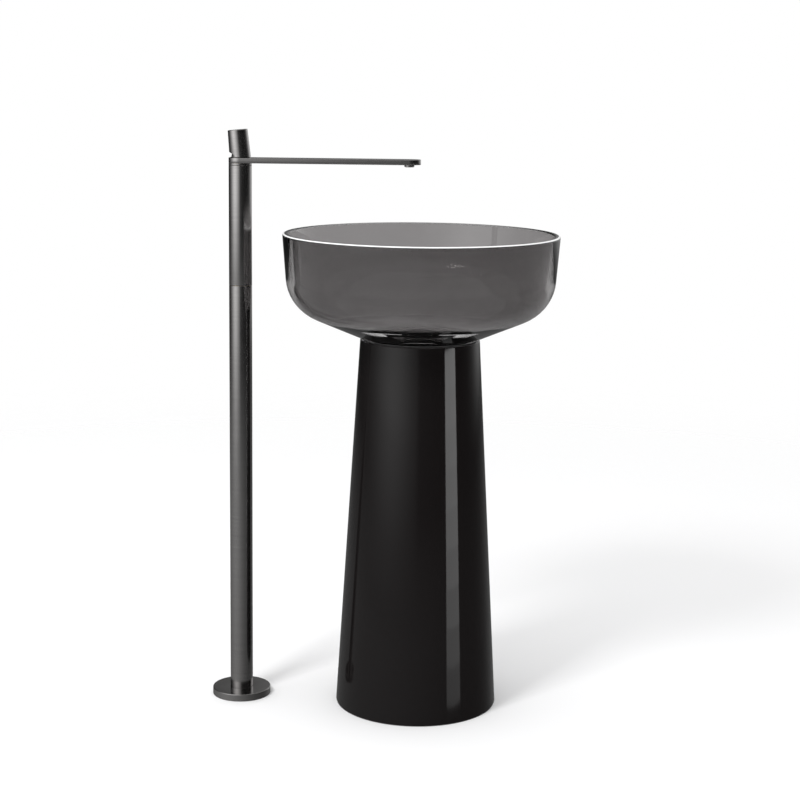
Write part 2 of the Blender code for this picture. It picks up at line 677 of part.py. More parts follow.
def cartridge():
    """The ceramic-disc cartridge: housing, base seal, fixed disc, moving disc, and rotor with its pin."""
    turned("cartridge_housing", [
        (CARTRIDGE_R, SPIGOT_TOP_Z - GAP),
        (CARTRIDGE_R, CARTRIDGE_SEAT_Z + GAP),
        (0.0100, CARTRIDGE_SEAT_Z + GAP),
        (0.0100, DISC_LOW_Z - GAP),
        (CARTRIDGE_BORE_R, DISC_LOW_Z - GAP),
        (CARTRIDGE_BORE_R, SPIGOT_TOP_Z - GAP),
    ], TAP, NYLON, MEDIUM)
    seal = ring("cartridge_base_seal", 0.0097, 0.0008, CARTRIDGE_SEAT_Z + GAP, DISC_LOW_Z - 0.0005, TAP, RUBBER)
    fixed = ring("cartridge_fixed_disc", 0.0109, 0.0008, DISC_LOW_Z, DISC_LOW_Z + 0.0030, TAP, CERAMIC)
    ports = [Vector((0, PORT_Y, 0)), Vector((0, -PORT_Y, 0)), Vector((-0.0058, 0, 0))]
    for piece in (seal, fixed):
        for port in ports:
            cut(piece, rod(TAP + port + up(1.00), TAP + port + up(1.03), 0.0017, 10))
    moving_low = DISC_LOW_Z + 0.0033
    turned("cartridge_moving_disc", [
        (0, moving_low + 0.0040),
        (0.0031, moving_low + 0.0040),
        (0.0031, PIVOT_Z - 0.0065),
        (0.0070, PIVOT_Z - 0.0065),
        (0.0070, moving_low),
        (0, moving_low),
    ], TAP + Vector((FINGER_DEPTH * math.sin(HANDLE_LEAN), 0, 0)), CERAMIC)
    rotor = ring("cartridge_rotor", 0.0108, 0.0060, PIVOT_Z - 0.0035, PIVOT_Z + 0.0032, TAP, NYLON)
    across = Vector((0, 0.0090, 0))
    cut(rotor, rod(PIVOT - across * 1.04, PIVOT + across * 1.04, 0.0016, 10))
    keep(rod(PIVOT - across, PIVOT + across, 0.0012, 10), "cartridge_pivot_pin", STEEL)


def dome():
    """The polished dome nut that clamps the cartridge, and that the handle tilts over."""
    opening_r = 0.0105
    low = SPOUT_OVER_Z + GAP
    first, last, steps = math.asin(opening_r / DOME_R), math.radians(88), 4
    corners = []
    for k in range(steps + 1):
        angle = first + (last - first) * k / steps
        corners.append((DOME_R * math.sin(angle), PIVOT_Z + DOME_R * math.cos(angle)))
    turned("tap_dome_nut", corners + [
        (0.0170, low + 0.0007),
        (0.0196, low + 0.0003),
        (0.0196, low),
        (SPIGOT_R + 0.0004, low),
        (SPIGOT_R + 0.0004, SPIGOT_TOP_Z + 0.0004),
        (opening_r, SPIGOT_TOP_Z + 0.0004),
    ], TAP, GUNMETAL, ROUND)


def handle():
    """The leaning handle: hollowed to sit over the dome, and cut away on the side it tilts to."""
    lean = (0, -HANDLE_LEAN, 0)
    back = Vector((0, 1, 0))
    grip = turned("tap_handle", [
        (0, 0.0502),
        (0.0184, 0.0502, 0.0010),
        (0.0198, -0.0030),
        (0, -0.0030),
    ], PIVOT, GUNMETAL, ROUND, lean)
    under_z = SPOUT_OVER_Z + 0.0015
    cut(grip, block(TAP + up(under_z - 0.02), (0.08, 0.08, 0.04)))
    slope = math.radians(24.5)
    away = Vector((-math.cos(slope), 0, math.sin(slope)))
    below = Vector((-math.sin(slope), 0, -math.cos(slope)))
    edge = TAP + Vector((-0.0005, 0, under_z))
    cut(grip, block(edge + away * 0.020 + below * 0.010, (0.060, 0.080, 0.020), (0, slope, 0)))
    bpy.ops.mesh.primitive_uv_sphere_add(segments=20, ring_count=12, radius=DOME_R + 0.0008, location=PIVOT)
    cut(grip, bpy.context.active_object)
    cut(grip, rod(PIVOT + HANDLE_AXIS * 0.010, PIVOT + HANDLE_AXIS * 0.043, 0.0045, 14))
    screw_at = PIVOT + HANDLE_AXIS * 0.030
    cut(grip, rod(screw_at + back * 0.003, screw_at + back * 0.030, 0.0024, 12))
    socket_screw("tap_handle_set_screw", screw_at + back * 0.0183, screw_at + back * 0.0044, 0.0020)
    stem = turned("cartridge_stem", [
        (0, 0.0420),
        (0.0040, 0.0420),
        (0.0040, 0.0170),
        (0.0028, 0.0155),
        (0.0028, -0.0030),
        (0.0018, -0.0058),
        (0.0018, -0.0090),
        (0, -0.0095),
    ], PIVOT, STEEL, 14, lean)
    cut(stem, rod(PIVOT - back * 0.006, PIVOT + back * 0.006, 0.0016, 10))


# Joints

def pivot(name, place, pieces, carrier=None):
    """An empty on a joint's axis, that carries the pieces which move there."""
    empty = bpy.data.objects.new(name, None)
    empty.empty_display_size = 0.02
    PARTS.objects.link(empty)
    empty.location = place
    bpy.context.view_layer.update()
    for obj in [bpy.data.objects[piece] for piece in pieces]:
        obj.parent = empty
        obj.matrix_parent_inverse = empty.matrix_world.inverted()
    if carrier:
        empty.parent = carrier
        empty.matrix_parent_inverse = carrier.matrix_world.inverted()
    return empty


def joints():
    """The spout swings about the column; the rotor turns in the head and carries the handle and moving disc."""
    pivot("spout_swivel", TAP + up(SPOUT_UNDER_Z), [
        "tap_spout_bar", "tap_nozzle_ring", "tap_nozzle_straightener", "tap_nozzle_washer",
    ])
    turning = pivot("handle_temperature", PIVOT, ["cartridge_rotor", "cartridge_pivot_pin"])
    pivot("handle_tilt", PIVOT, ["tap_handle", "tap_handle_set_screw", "cartridge_stem"], turning)
    pivot("disc_slide", PIVOT - up(FINGER_DEPTH), ["cartridge_moving_disc"], turning)
    pivot("plug_lift", SINK + up(PLUG_UNDER_Z), ["waste_plug_cap", "waste_plug_seal", "waste_plug_sleeve"])


def main():
    bowl()
    pedestal()
    floor_plate()
    waste()
    push_plug()
    trap()
    drain()
    tap_foot()
    column()
    hoses()
    valve_body()
    spout()
    cartridge()
    dome()
    handle()
    joints()


main()
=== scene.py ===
"""Looks of the pedestal sink with its floor-standing mixer tap.

The pieces that show are built here finely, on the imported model's own sizes. Every inner piece keeps
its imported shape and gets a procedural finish. Metres, +Z up, +Y at the back, the floor at z = 0.
"""

import math

import bmesh
import bpy
from mathutils import Matrix, Vector


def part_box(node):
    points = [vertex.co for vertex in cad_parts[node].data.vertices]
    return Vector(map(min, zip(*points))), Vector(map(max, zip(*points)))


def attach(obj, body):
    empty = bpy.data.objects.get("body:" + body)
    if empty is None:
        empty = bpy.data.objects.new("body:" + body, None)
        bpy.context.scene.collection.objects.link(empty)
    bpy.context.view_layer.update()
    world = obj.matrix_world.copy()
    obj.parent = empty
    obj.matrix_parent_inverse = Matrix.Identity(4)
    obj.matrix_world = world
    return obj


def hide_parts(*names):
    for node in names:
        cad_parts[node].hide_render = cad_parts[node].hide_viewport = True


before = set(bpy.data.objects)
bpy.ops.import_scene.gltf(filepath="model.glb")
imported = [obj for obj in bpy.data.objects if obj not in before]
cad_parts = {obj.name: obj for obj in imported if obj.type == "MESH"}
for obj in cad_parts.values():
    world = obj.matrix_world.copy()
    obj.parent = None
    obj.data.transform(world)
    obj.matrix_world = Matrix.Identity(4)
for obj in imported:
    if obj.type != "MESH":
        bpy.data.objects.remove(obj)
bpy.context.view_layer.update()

GAP = 0.0003                          # left between pieces that touch
FINE, MIDDLE, COARSE = 256, 160, 96   # facets round a turned piece, by its size
UP = Vector((0, 0, 1))
BACK = Vector((0, 1, 0))


def centre_of(node):
    """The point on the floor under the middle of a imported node."""
    low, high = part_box(node)
    return Vector(((low.x + high.x) / 2, (low.y + high.y) / 2, 0))


def top_of(node):
    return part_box(node)[1].z


def foot_of(node):
    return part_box(node)[0].z


SINK = centre_of("basin_bowl")
TAP = centre_of("tap_floor_flange")
NOZZLE = centre_of("tap_nozzle_ring")
RIM_Z = top_of("basin_bowl")
BOWL_BASE_Z = foot_of("basin_bowl")
BOWL_R = (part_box("basin_bowl")[1].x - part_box("basin_bowl")[0].x) / 2
BOWL_WALL = 0.010
RECESS_Z = BOWL_BASE_Z + 0.0215       # the ledge in the bowl's floor that the waste sits on
PEDESTAL_TOP_Z = top_of("pedestal_shell")
PEDESTAL_FOOT_Z = foot_of("pedestal_shell")
PEDESTAL_FOOT_R = (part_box("pedestal_shell")[1].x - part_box("pedestal_shell")[0].x) / 2
PEDESTAL_TAPER = 0.041
PEDESTAL_TOP_R = PEDESTAL_FOOT_R - PEDESTAL_TAPER
PEDESTAL_WALL = 0.008
PEDESTAL_SCREW_Z = 0.028
COLUMN_R = 0.0215
COLUMN_WALL = 0.0025
COLUMN_SEAM_Z = 0.798
COLUMN_SCREW_Z = 0.040
COLUMN_TOP_Z = top_of("tap_column_upper")
SPOUT_UNDER_Z = foot_of("tap_spout_bar")
SPOUT_OVER_Z = top_of("tap_spout_bar")
NECK_R = 0.0170
PIVOT_Z = SPOUT_OVER_Z + 0.0015
DOME_R = 0.0162
DOME_OPENING_R = 0.0105
SPIGOT_R = 0.0141
SPIGOT_TOP_Z = PIVOT_Z + 0.0039
HANDLE_LEAN = math.radians(5.3)
HANDLE_TOP = 0.0502                   # along the handle, from its pivot
CUTAWAY_SLOPE = math.radians(24.5)    # the handle's tilt of 22 degrees and a little room
PIVOT = TAP + UP * PIVOT_Z
HANDLE_AXIS = Vector((-math.sin(HANDLE_LEAN), 0, math.cos(HANDLE_LEAN)))


# Shader groups

def new_group(name, inputs, outputs):
    """An empty shader group with named sockets; inputs are (name, default) and outputs names."""
    group = bpy.data.node_groups.new(name, "ShaderNodeTree")
    for label, default in inputs:
        socket = group.interface.new_socket(label, in_out="INPUT", socket_type="NodeSocketFloat")
        socket.default_value = default
    for label in outputs:
        group.interface.new_socket(label, in_out="OUTPUT", socket_type="NodeSocketFloat")
    return group, group.nodes.new("NodeGroupInput"), group.nodes.new("NodeGroupOutput")


def add(tree, kind, settings=None, **values):
    """A node with its settings, and its inputs set or linked.

    Underscores in an input's name stand for spaces, and i0, i1 name inputs by number.
    """
    node = tree.nodes.new(kind)
    for label, value in (settings or {}).items():
        setattr(node, label, value)
    for label, value in values.items():
        numbered = label[0] == "i" and label[1:].isdigit()
        key = int(label[1:]) if numbered else label.replace("_", " ")
        if isinstance(value, bpy.types.NodeSocket):
            tree.links.new(value, node.inputs[key])
        else:
            node.inputs[key].default_value = value
    return node


def maths(tree, operation, first, second=0.0):
    return add(tree, "ShaderNodeMath", {"operation": operation}, i0=first, i1=second).outputs[0]


def remap(tree, value, low, high, new_low, new_high):
    node = add(tree, "ShaderNodeMapRange", {"interpolation_type": "SMOOTHSTEP"}, Value=value)
    for label, number in (("From Min", low), ("From Max", high), ("To Min", new_low), ("To Max", new_high)):
        if isinstance(number, bpy.types.NodeSocket):
            tree.links.new(number, node.inputs[label])
        else:
            node.inputs[label].default_value = number
    return node.outputs["Result"]


def place_of(tree):
    return add(tree, "ShaderNodeTexCoord").outputs["Object"]


def build_polish_haze():
    """Cloudy unevenness of a polished or wiped surface: a roughness, and a soft mask."""
    tree, start, end = new_group(
        "polish_haze", [("Size", 9.0), ("Roughness", 0.1), ("Spread", 0.03)], ["Roughness", "Mask"])
    broad = add(tree, "ShaderNodeTexNoise", Vector=place_of(tree), Scale=start.outputs["Size"],
                Detail=5.0, Roughness=0.6).outputs["Fac"]
    mask = remap(tree, broad, 0.3, 0.7, 0.0, 1.0)
    swing = maths(tree, "MULTIPLY", maths(tree, "SUBTRACT", mask, 0.5), start.outputs["Spread"])
    tree.links.new(maths(tree, "ADD", swing, start.outputs["Roughness"]), end.inputs["Roughness"])
    tree.links.new(mask, end.inputs["Mask"])
    return tree


def build_lathe_lines():
    """Fine lines left round a turned and brushed piece: a height and a mask."""
    tree, start, end = new_group("lathe_lines", [("Pitch", 900.0), ("Contrast", 1.0)], ["Height", "Mask"])
    stretch = add(tree, "ShaderNodeCombineXYZ", X=6.0, Y=6.0, Z=start.outputs["Pitch"]).outputs[0]
    along = add(tree, "ShaderNodeVectorMath", {"operation": "MULTIPLY"}, i0=place_of(tree), i1=stretch)
    lines = add(tree, "ShaderNodeTexNoise", Vector=along.outputs[0], Scale=1.0, Detail=3.0,
                Roughness=0.7).outputs["Fac"]
    mask = remap(tree, lines, 0.35, 0.65, 0.0, start.outputs["Contrast"])
    tree.links.new(mask, end.inputs["Height"])
    tree.links.new(mask, end.inputs["Mask"])
    return tree


def build_fine_grain():
    """Small even grain, as on moulded plastic, rubber or cast ceramic: a height and a mask."""
    tree, start, end = new_group("fine_grain", [("Size", 900.0), ("Softness", 0.5)], ["Height", "Mask"])
    grain = add(tree, "ShaderNodeTexNoise", Vector=place_of(tree), Scale=start.outputs["Size"],
                Detail=3.0, Roughness=start.outputs["Softness"]).outputs["Fac"]
    pits = add(tree, "ShaderNodeTexVoronoi", {"feature": "SMOOTH_F1"}, Vector=place_of(tree),
               Scale=start.outputs["Size"], Smoothness=0.6).outputs["Distance"]
    both = maths(tree, "ADD", maths(tree, "MULTIPLY", grain, 0.7), maths(tree, "MULTIPLY", pits, 0.3))
    tree.links.new(both, end.inputs["Height"])
    tree.links.new(remap(tree, both, 0.3, 0.7, 0.0, 1.0), end.inputs["Mask"])
    return tree


def build_settled_dust():
    """A thin film of dust on faces that look up: a mask."""
    tree, start, end = new_group("settled_dust", [("Amount", 0.2), ("Size", 60.0)], ["Mask"])
    normal = add(tree, "ShaderNodeNewGeometry").outputs["Normal"]
    upward = add(tree, "ShaderNodeSeparateXYZ", i0=normal).outputs["Z"]
    flat = remap(tree, upward, 0.55, 0.98, 0.0, 1.0)
    patches = add(tree, "ShaderNodeTexNoise", Vector=place_of(tree), Scale=start.outputs["Size"],
                  Detail=6.0, Roughness=0.65).outputs["Fac"]
    film = maths(tree, "MULTIPLY", flat, remap(tree, patches, 0.35, 0.75, 0.2, 1.0))
    tree.links.new(maths(tree, "MULTIPLY", film, start.outputs["Amount"]), end.inputs["Mask"])
    return tree


def build_crossed_braid():
    """Wires of a braided hose, crossing at a slant: a height and a mask."""
    tree, start, end = new_group("crossed_braid", [("Wires", 420.0)], ["Height", "Mask"])
    crossing = []
    for slant in (1.0, -1.0):
        direction = add(tree, "ShaderNodeVectorMath", {"operation": "DOT_PRODUCT"},
                        i0=place_of(tree), i1=(1.0, 1.0, slant)).outputs["Value"]
        turn = maths(tree, "MULTIPLY", direction, start.outputs["Wires"])
        crossing.append(maths(tree, "ABSOLUTE", maths(tree, "SINE", turn)))
    weave = maths(tree, "MAXIMUM", *crossing)
    tree.links.new(weave, end.inputs["Height"])
    tree.links.new(remap(tree, weave, 0.4, 0.95, 0.0, 1.0), end.inputs["Mask"])
    return tree


POLISH_HAZE = build_polish_haze()
LATHE_LINES = build_lathe_lines()
FINE_GRAIN = build_fine_grain()
SETTLED_DUST = build_settled_dust()
CROSSED_BRAID = build_crossed_braid()


# Finishes

def new_finish(name):
    """An emptied material with its Principled shader, ready to be given nodes."""
    material = bpy.data.materials.new(name)
    material.use_nodes = True
    tree = material.node_tree
    return material, tree, tree.nodes["Principled BSDF"]


def use(tree, group, **values):
    return add(tree, "ShaderNodeGroup", {"node_tree": group}, **values).outputs


def tint(tree, mask, first, second):
    """A colour that goes from the first to the second as the mask goes from 0 to 1."""
    mix = add(tree, "ShaderNodeMix", {"data_type": "RGBA"}, Factor=mask, i6=(*first, 1), i7=(*second, 1))
    return mix.outputs[2]


def raise_up(tree, shader, height, depth):
    bump = add(tree, "ShaderNodeBump", Height=height, Distance=depth, Strength=1.0)
    tree.links.new(bump.outputs["Normal"], shader.inputs["Normal"])


def resin_finish(name, smoke, foot):
    """Polished cast resin. The smoke lies in each face that the light passes, and thins towards the foot."""
    material, tree, shader = new_finish(name)
    haze = use(tree, POLISH_HAZE, Size=7.0, Roughness=0.012, Spread=0.012)
    tree.links.new(haze["Roughness"], shader.inputs["Roughness"])
    height = add(tree, "ShaderNodeSeparateXYZ", i0=place_of(tree)).outputs["Z"]
    depth = remap(tree, height, BOWL_BASE_Z + 0.002, BOWL_BASE_Z + 0.060, 0.0, 1.0)
    cloud = maths(tree, "MULTIPLY", depth, remap(tree, haze["Mask"], 0.0, 1.0, 0.95, 1.0))
    tree.links.new(tint(tree, cloud, foot, smoke), shader.inputs["Base Color"])
    shader.inputs["IOR"].default_value = 1.50
    shader.inputs["Transmission Weight"].default_value = 1.0
    return material


def black_gloss_finish():
    """Gloss black lacquer, with the slightest waviness under the shine."""
    material, tree, shader = new_finish("gloss_black_lacquer")
    haze = use(tree, POLISH_HAZE, Size=5.0, Roughness=0.055, Spread=0.03)
    dust = use(tree, SETTLED_DUST, Amount=0.10, Size=70.0)
    ripple = add(tree, "ShaderNodeTexNoise", Vector=place_of(tree), Scale=34.0, Detail=2.0).outputs["Fac"]
    tree.links.new(haze["Roughness"], shader.inputs["Roughness"])
    tree.links.new(tint(tree, dust["Mask"], (0.0065, 0.0055, 0.0055), (0.09, 0.088, 0.085)),
                   shader.inputs["Base Color"])
    raise_up(tree, shader, ripple, 0.00002)
    shader.inputs["IOR"].default_value = 1.34
    return material


def gunmetal_finish():
    """Dark polished metal with faint lines round it from polishing."""
    material, tree, shader = new_finish("dark_polished_metal")
    haze = use(tree, POLISH_HAZE, Size=26.0, Roughness=0.17, Spread=0.05)
    lines = use(tree, LATHE_LINES, Pitch=1500.0, Contrast=1.0)
    tree.links.new(haze["Roughness"], shader.inputs["Roughness"])
    tree.links.new(tint(tree, lines["Mask"], (0.36, 0.352, 0.35), (0.42, 0.41, 0.405)),
                   shader.inputs["Base Color"])
    raise_up(tree, shader, lines["Height"], 0.0000022)
    shader.inputs["Metallic"].default_value = 1.0
    return material


def bright_metal_finish(name, dark, light, roughness):
    """A plain machined metal for fixings and inner pieces."""
    material, tree, shader = new_finish(name)
    haze = use(tree, POLISH_HAZE, Size=60.0, Roughness=roughness, Spread=0.12)
    lines = use(tree, LATHE_LINES, Pitch=2600.0, Contrast=1.0)
    tree.links.new(haze["Roughness"], shader.inputs["Roughness"])
    tree.links.new(tint(tree, haze["Mask"], dark, light), shader.inputs["Base Color"])
    raise_up(tree, shader, lines["Height"], 0.000004)
    shader.inputs["Metallic"].default_value = 1.0
    return material


def moulded_finish(name, dark, light, roughness, grain=1100.0, depth=0.00001):
    """Moulded plastic, rubber or fired ceramic with a fine even grain."""
    material, tree, shader = new_finish(name)
    haze = use(tree, POLISH_HAZE, Size=45.0, Roughness=roughness, Spread=0.08)
    grains = use(tree, FINE_GRAIN, Size=grain, Softness=0.6)
    tree.links.new(haze["Roughness"], shader.inputs["Roughness"])
    tree.links.new(tint(tree, grains["Mask"], dark, light), shader.inputs["Base Color"])
    raise_up(tree, shader, grains["Height"], depth)
    return material


def braid_finish():
    """Stainless wire braid of the supply hoses."""
    material, tree, shader = new_finish("steel_wire_braid")
    braid = use(tree, CROSSED_BRAID, Wires=900.0)
    haze = use(tree, POLISH_HAZE, Size=80.0, Roughness=0.32, Spread=0.1)
    tree.links.new(haze["Roughness"], shader.inputs["Roughness"])
    tree.links.new(tint(tree, braid["Mask"], (0.10, 0.10, 0.11), (0.58, 0.58, 0.60)),
                   shader.inputs["Base Color"])
    raise_up(tree, shader, braid["Height"], 0.0004)
    shader.inputs["Metallic"].default_value = 1.0
    return material


FINISHES = {
    "smoked_resin": resin_finish("smoked_resin_outside", (0.325, 0.315, 0.315), (0.86, 0.85, 0.85)),
    "pedestal_black": black_gloss_finish(),
    "gunmetal": gunmetal_finish(),
    "steel": bright_metal_finish("machined_steel", (0.48, 0.48, 0.49), (0.60, 0.60, 0.61), 0.30),
    "brass": bright_metal_finish("turned_brass", (0.56, 0.43, 0.22), (0.68, 0.55, 0.30), 0.30),
    "rubber": moulded_finish("black_rubber", (0.012, 0.012, 0.012), (0.030, 0.030, 0.030), 0.62, 1500.0),
    "nylon": moulded_finish("white_nylon", (0.62, 0.62, 0.60), (0.72, 0.72, 0.69), 0.45, 1300.0),
    "trap_plastic": moulded_finish("white_pipe_plastic", (0.74, 0.74, 0.72), (0.80, 0.80, 0.79), 0.38, 700.0),
    "ceramic": moulded_finish("fired_ceramic", (0.84, 0.82, 0.77), (0.90, 0.88, 0.84), 0.18, 2400.0,
                              0.000003),
    "hose_braid": braid_finish(),
}
SMOKED_INSIDE = resin_finish("smoked_resin_inside", (0.192, 0.184, 0.184), (0.40, 0.39, 0.39))
# Painted highlight: an opaque near-white finish for the rim's outer edge, standing in for the light that the
# rim catches.
RIM_PAINTED_HIGHLIGHT = moulded_finish("rim_painted_highlight", (0.88, 0.88, 0.88), (0.94, 0.94, 0.94), 0.30, 900.0)
BEDDING = moulded_finish("black_bedding", (0.050, 0.050, 0.050), (0.070, 0.070, 0.070), 0.35, 1500.0)

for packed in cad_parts.values():
    for number, old in enumerate(packed.data.materials):
        packed.data.materials[number] = FINISHES[old.name.split(".")[0]]


# Outlines and shapes

def softened(corners, step=math.radians(7)):
    """The outline through (r, z) corners, where a third number rounds a corner to that radius."""
    points = []
    for i, corner in enumerate(corners):
        here = Vector(corner[:2])
        radius = corner[2] if len(corner) > 2 else 0
        if not radius:
            points.append(tuple(here))
            continue
        before = (Vector(corners[i - 1][:2]) - here).normalized()
        after = (Vector(corners[(i + 1) % len(corners)][:2]) - here).normalized()
        half = before.angle(after) / 2
        centre = here + (before + after).normalized() * radius / math.sin(half)
        first = here + before * radius / math.tan(half) - centre
        sweep = first.angle_signed(here + after * radius / math.tan(half) - centre)
        count = max(3, math.ceil(abs(sweep) / step))
        for k in range(count + 1):
            points.append(tuple(centre + Matrix.Rotation(-sweep * k / count, 2) @ first))
    return points


def object_from(work, name, matrix=None):
    """A finished bmesh as an object, with its normals outwards and its creases kept sharp."""
    if matrix:
        work.transform(matrix)
    bmesh.ops.recalc_face_normals(work, faces=work.faces)
    mesh = bpy.data.meshes.new(name)
    work.to_mesh(mesh)
    work.free()
    shade(mesh)
    obj = bpy.data.objects.new(name, mesh)
    bpy.context.scene.collection.objects.link(obj)
    return obj


def shade(mesh, crease=38):
    mesh.shade_smooth()
    mesh.set_sharp_from_angle(angle=math.radians(crease))


def lathe(name, corners, centre, facets=MIDDLE, turn=None):
    """A solid of revolution. Its outline runs down the outer side; an end at r = 0 is on the axis."""
    work = bmesh.new()
    rings = []
    for radius, height in softened(corners):
        count = facets if radius > 1e-7 else 1
        angles = [math.tau * k / facets for k in range(count)]
        rings.append([work.verts.new((radius * math.cos(a), radius * math.sin(a), height)) for a in angles])
    pairs = list(zip(rings, rings[1:]))
    if len(rings[0]) > 1:
        pairs.append((rings[-1], rings[0]))
    for here, after in pairs:
        for k in range(facets):
            n = (k + 1) % facets
            around = [here[k % len(here)], here[n % len(here)], after[n % len(after)], after[k % len(after)]]
            work.faces.new(list(dict.fromkeys(around)))
    matrix = Matrix.Translation(centre)
    if turn:
        matrix = matrix @ turn
    return object_from(work, name, matrix)


def bar(start, end, radius, sides=64):
    """A round cutter between two points."""
    along = end - start
    work = bmesh.new()
    bmesh.ops.create_cone(work, cap_ends=True, segments=sides, radius1=radius, radius2=radius,
                          depth=along.length)
    matrix = Matrix.Translation((start + end) / 2) @ along.to_track_quat("Z", "Y").to_matrix().to_4x4()
    return object_from(work, "cutter", matrix)


def brick(centre, size, lean=0.0):
    """A straight-sided cutter, turned about the Y axis by the lean."""
    work = bmesh.new()
    bmesh.ops.create_cube(work, size=1)
    matrix = Matrix.Translation(centre) @ Matrix.Rotation(lean, 4, "Y") @ Matrix.Diagonal((*size, 1))
    return object_from(work, "cutter", matrix)


def combine(obj, tool, operation):
    """Cuts the tool from the object or joins it on, and leaves one plain mesh."""
    modifier = obj.modifiers.new(operation.lower(), "BOOLEAN")
    modifier.operation = operation
    modifier.solver = "EXACT"
    modifier.object = tool
    settle(obj)
    bpy.data.objects.remove(tool, do_unlink=True)
    return obj


def settle(obj):
    """Turns the object's modifiers into its mesh."""
    bpy.context.view_layer.update()
    mesh = bpy.data.meshes.new_from_object(obj.evaluated_get(bpy.context.evaluated_depsgraph_get()))
    mesh.name = obj.name
    obj.modifiers.clear()
    obj.data = mesh
    shade(mesh)
    return obj


def cut(obj, tool):
    return combine(obj, tool, "DIFFERENCE")


def join(obj, tool):
    return combine(obj, tool, "UNION")


def install(obj, slot, body, *nodes, material=None):
    """Gives a piece its finish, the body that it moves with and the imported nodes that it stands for."""
    obj.data.materials.clear()
    obj.data.materials.append(material or FINISHES[slot])
    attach(obj, body)
    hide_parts(*nodes)
    return obj


# Sink

def finish_faces(bowl):
    """Gives the bowl's inner faces the deeper smoke, and the outer edge of its rim a painted highlight: an
    opaque near-white finish standing in for the light that the rim catches.
    """
    highlight_drop, highlight_width = 0.0018, 0.0050
    bowl.data.materials.append(SMOKED_INSIDE)
    bowl.data.materials.append(RIM_PAINTED_HIGHLIGHT)
    for face in bowl.data.polygons:
        outward = Vector((face.center.x - SINK.x, face.center.y - SINK.y, 0))
        looks_in = face.normal.dot(outward) < 0 or face.normal.z > 0.05
        # Faces on the rim's outer edge get the painted highlight (opaque near-white), standing in for the
        # light that the rim catches.
        if face.center.z > RIM_Z - highlight_drop and outward.length > BOWL_R - highlight_width:
            face.material_index = 2
        elif looks_in and face.center.z > RECESS_Z + 0.0005:
            face.material_index = 1


def resin_bowl():
    """The cast bowl, upright with a wide corner and a floor that falls to the drain, and its bedding."""
    inner = BOWL_R - BOWL_WALL
    bowl = install(lathe("resin_bowl", [
        (BOWL_R, RIM_Z, 0.0035),
        (BOWL_R - 0.0105, RIM_Z - 0.1360, 0.084),
        (PEDESTAL_TOP_R - 0.0030, BOWL_BASE_Z, 0.0020),
        (0.0230, BOWL_BASE_Z, 0.0004),
        (0.0230, RECESS_Z, 0.0003),
        (0.0330, RECESS_Z, 0.0005),
        (0.0330, RECESS_Z + 0.0022, 0.0006),
        (inner - 0.0188, RIM_Z - 0.1542, 0.072),
        (inner, RIM_Z, 0.0035),
    ], SINK, FINE), "smoked_resin", "fixed", "basin_bowl")
    finish_faces(bowl)
    install(lathe("bowl_bedding", [
        (0.1075, BOWL_BASE_Z - GAP, 0.0004),
        (0.1075, PEDESTAL_TOP_Z + GAP, 0.0004),
        (0.0500, PEDESTAL_TOP_Z + GAP),
        (0.0500, BOWL_BASE_Z - GAP),
    ], SINK, FINE), "rubber", "fixed", "bowl_seat_gasket", material=BEDDING)


def black_pedestal():
    """The hollow cone, with a countersunk hole at the back for its one screw."""
    shell = lathe("black_pedestal", [
        (PEDESTAL_TOP_R, PEDESTAL_TOP_Z, 0.0025),
        (PEDESTAL_FOOT_R, PEDESTAL_FOOT_Z, 0.0015),
        (PEDESTAL_FOOT_R - PEDESTAL_WALL, PEDESTAL_FOOT_Z),
        (PEDESTAL_TOP_R - PEDESTAL_WALL, PEDESTAL_TOP_Z - 0.010),
        (0.040, PEDESTAL_TOP_Z - 0.010),
        (0.040, PEDESTAL_TOP_Z),
    ], SINK, FINE)
    hole = SINK + UP * PEDESTAL_SCREW_Z
    cut(shell, bar(hole + BACK * 0.130, hole + BACK * 0.170, 0.0033, 48))
    cut(shell, bar(hole + BACK * 0.1492, hole + BACK * 0.170, 0.0060, 64))
    install(shell, "pedestal_black", "fixed", "pedestal_shell")
    install(lathe("foot_seal", [
        (0.1518, 0.0015, 0.0003),
        (0.1518, 0.0, 0.0003),
        (0.1460, 0.0),
        (0.1460, 0.0015),
    ], SINK, FINE), "rubber", "fixed", "pedestal_foot_seal")
    screw = lathe("back_screw", [
        (0, 0.0026),
        (0.0036, 0.0024, 0.0006),
        (0.0052, 0.0010, 0.0005),
        (0.0052, 0.0002, 0.0001),
        (0.0024, 0.0),
        (0.0024, -0.0156),
        (0, -0.0156),
    ], hole + BACK * 0.1496, 64, Matrix.Rotation(-math.pi / 2, 4, "X"))
    cut(screw, bar(hole + BACK * 0.1510, hole + BACK * 0.1530, 0.0020, 6))
    install(screw, "steel", "fixed", "pedestal_fixing_screw")


def push_waste():
    """The waste's flange and tube with its cross bar, and the domed plug cap."""
    flange_z = RECESS_Z + 0.0012
    tube_foot_z = foot_of("waste_flange")
    tube = lathe("waste_rim", [
        (0.0320, flange_z + 0.0020, 0.0008),
        (0.0320, flange_z, 0.0002),
        (0.0205, flange_z),
        (0.0205, tube_foot_z),
        (0.0178, tube_foot_z),
        (0.0178, flange_z - 0.0020),
        (0.0215, flange_z + 0.0020, 0.0004),
    ], SINK, MIDDLE)
    bar_z = BOWL_BASE_Z - 0.0080
    join(tube, brick(SINK + UP * bar_z, (0.0376, 0.007, 0.004)))
    cut(tube, bar(SINK + UP * (bar_z - 0.01), SINK + UP * (bar_z + 0.01), 0.0023, 48))
    install(tube, "gunmetal", "fixed", "waste_flange")
    under_z = foot_of("waste_plug_cap")
    install(lathe("plug_cap", [
        (0, under_z + 0.0040),
        (0.0150, under_z + 0.00385, 0.05),
        (0.0290, under_z + 0.0034, 0.0012),
        (0.0290, under_z, 0.0006),
        (0.0090, under_z),
        (0.0090, under_z + 0.0012),
        (0, under_z + 0.0012),
    ], SINK, MIDDLE), "gunmetal", "plug", "waste_plug_cap")


# Tap

